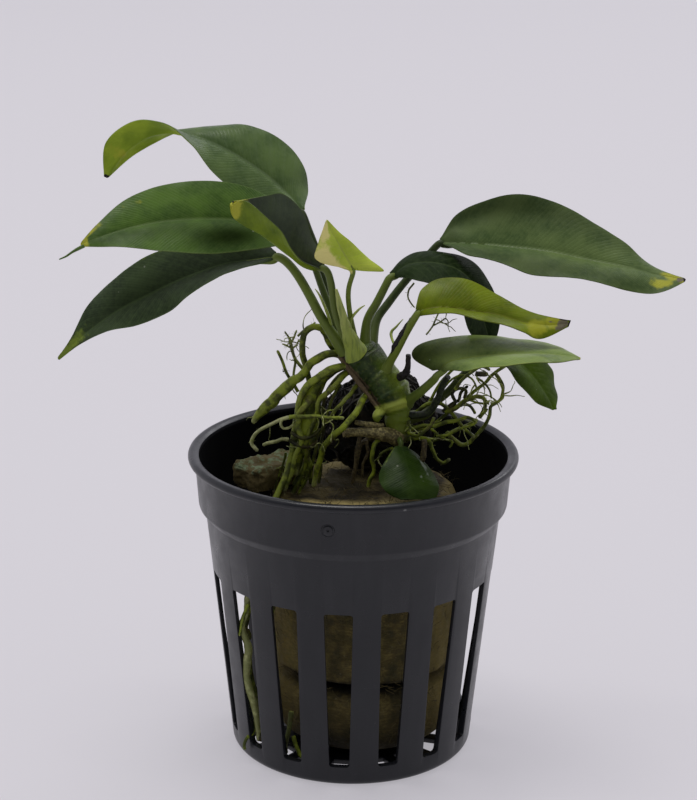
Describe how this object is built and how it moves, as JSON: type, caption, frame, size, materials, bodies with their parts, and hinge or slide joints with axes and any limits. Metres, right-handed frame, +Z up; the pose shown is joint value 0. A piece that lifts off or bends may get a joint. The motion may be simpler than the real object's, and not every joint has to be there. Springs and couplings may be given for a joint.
{
  "type": "potted anubias",
  "caption": "Small anubias with arching green leaves, a creeping rhizome and curling roots, growing on mineral wool in a black slotted net pot.",
  "frame": {"origin": "centre of the pot's underside, on the surface that the pot stands on", "axes": "+Z up along the pot's axis, -Y towards the front of the plant, +X to its right"},
  "size_m": [0.1057, 0.056, 0.1078],
  "materials": {
    "pot_plastic": "satin black moulded plastic",
    "mineral_wool": "wet fibrous mineral wool, olive brown",
    "rhizome_green": "waxy green stem, lumpy, with brown scars",
    "stalk_green": "waxy green petiole",
    "leaf_green": "satin dark green leaf",
    "leaf_light": "satin yellow-green leaf",
    "root_green": "dull green root",
    "old_brown": "old dead root and stub tissue, dark brown"
  },
  "bodies": {
    "root": {"net_pot": "pot_plastic", "wool_lower": "mineral_wool", "wool_upper": "mineral_wool", "wool_corner": "mineral_wool", "old_root_mass": "old_brown", "rhizome": "rhizome_green", "sheath": "stalk_green", "black_stub": "old_brown", "old_root_stub": "old_brown", "leaf_big_right": "leaf_green", "leaf_light_right": "leaf_light", "leaf_flat_right": "leaf_green", "leaf_arched_right": "leaf_green", "leaf_hanging_right": "leaf_green", "leaf_top_left": "leaf_green", "leaf_middle_left": "leaf_green", "leaf_lower_left": "leaf_green", "leaf_curled": "leaf_green", "leaf_small_yellow": "leaf_light", "leaf_young_round": "leaf_green", "stalk_big_right": "stalk_green", "stalk_light_right": "stalk_green", "stalk_flat_right": "stalk_green", "stalk_arched_right": "stalk_green", "stalk_hanging_right": "stalk_green", "stalk_top_left": "stalk_green", "stalk_middle_left": "stalk_green", "stalk_lower_left": "stalk_green", "stalk_curled": "stalk_green", "stalk_small_yellow": "stalk_green", "stalk_young_round": "stalk_green", "stalk_cut_right": "old_brown", "root_left_free": "root_green", "root_left_long": "root_green", "root_left_loop": "root_green", "root_left_inner": "root_green", "root_left_fine": "root_green", "root_front_long": "root_green", "root_across": "root_green", "root_hook_upper": "root_green", "root_hook_lower": "root_green", "root_brown": "old_brown", "root_centre": "root_green", "root_bow": "root_green", "root_hook_right": "root_green", "root_right_outer": "root_green", "root_right_arch": "root_green", "root_right_knot": "root_green", "root_right_low": "root_green", "root_right_rear": "root_green", "root_right_top": "root_green", "root_star": "root_green", "root_side": "root_green"}
  },
  "joints": []
}
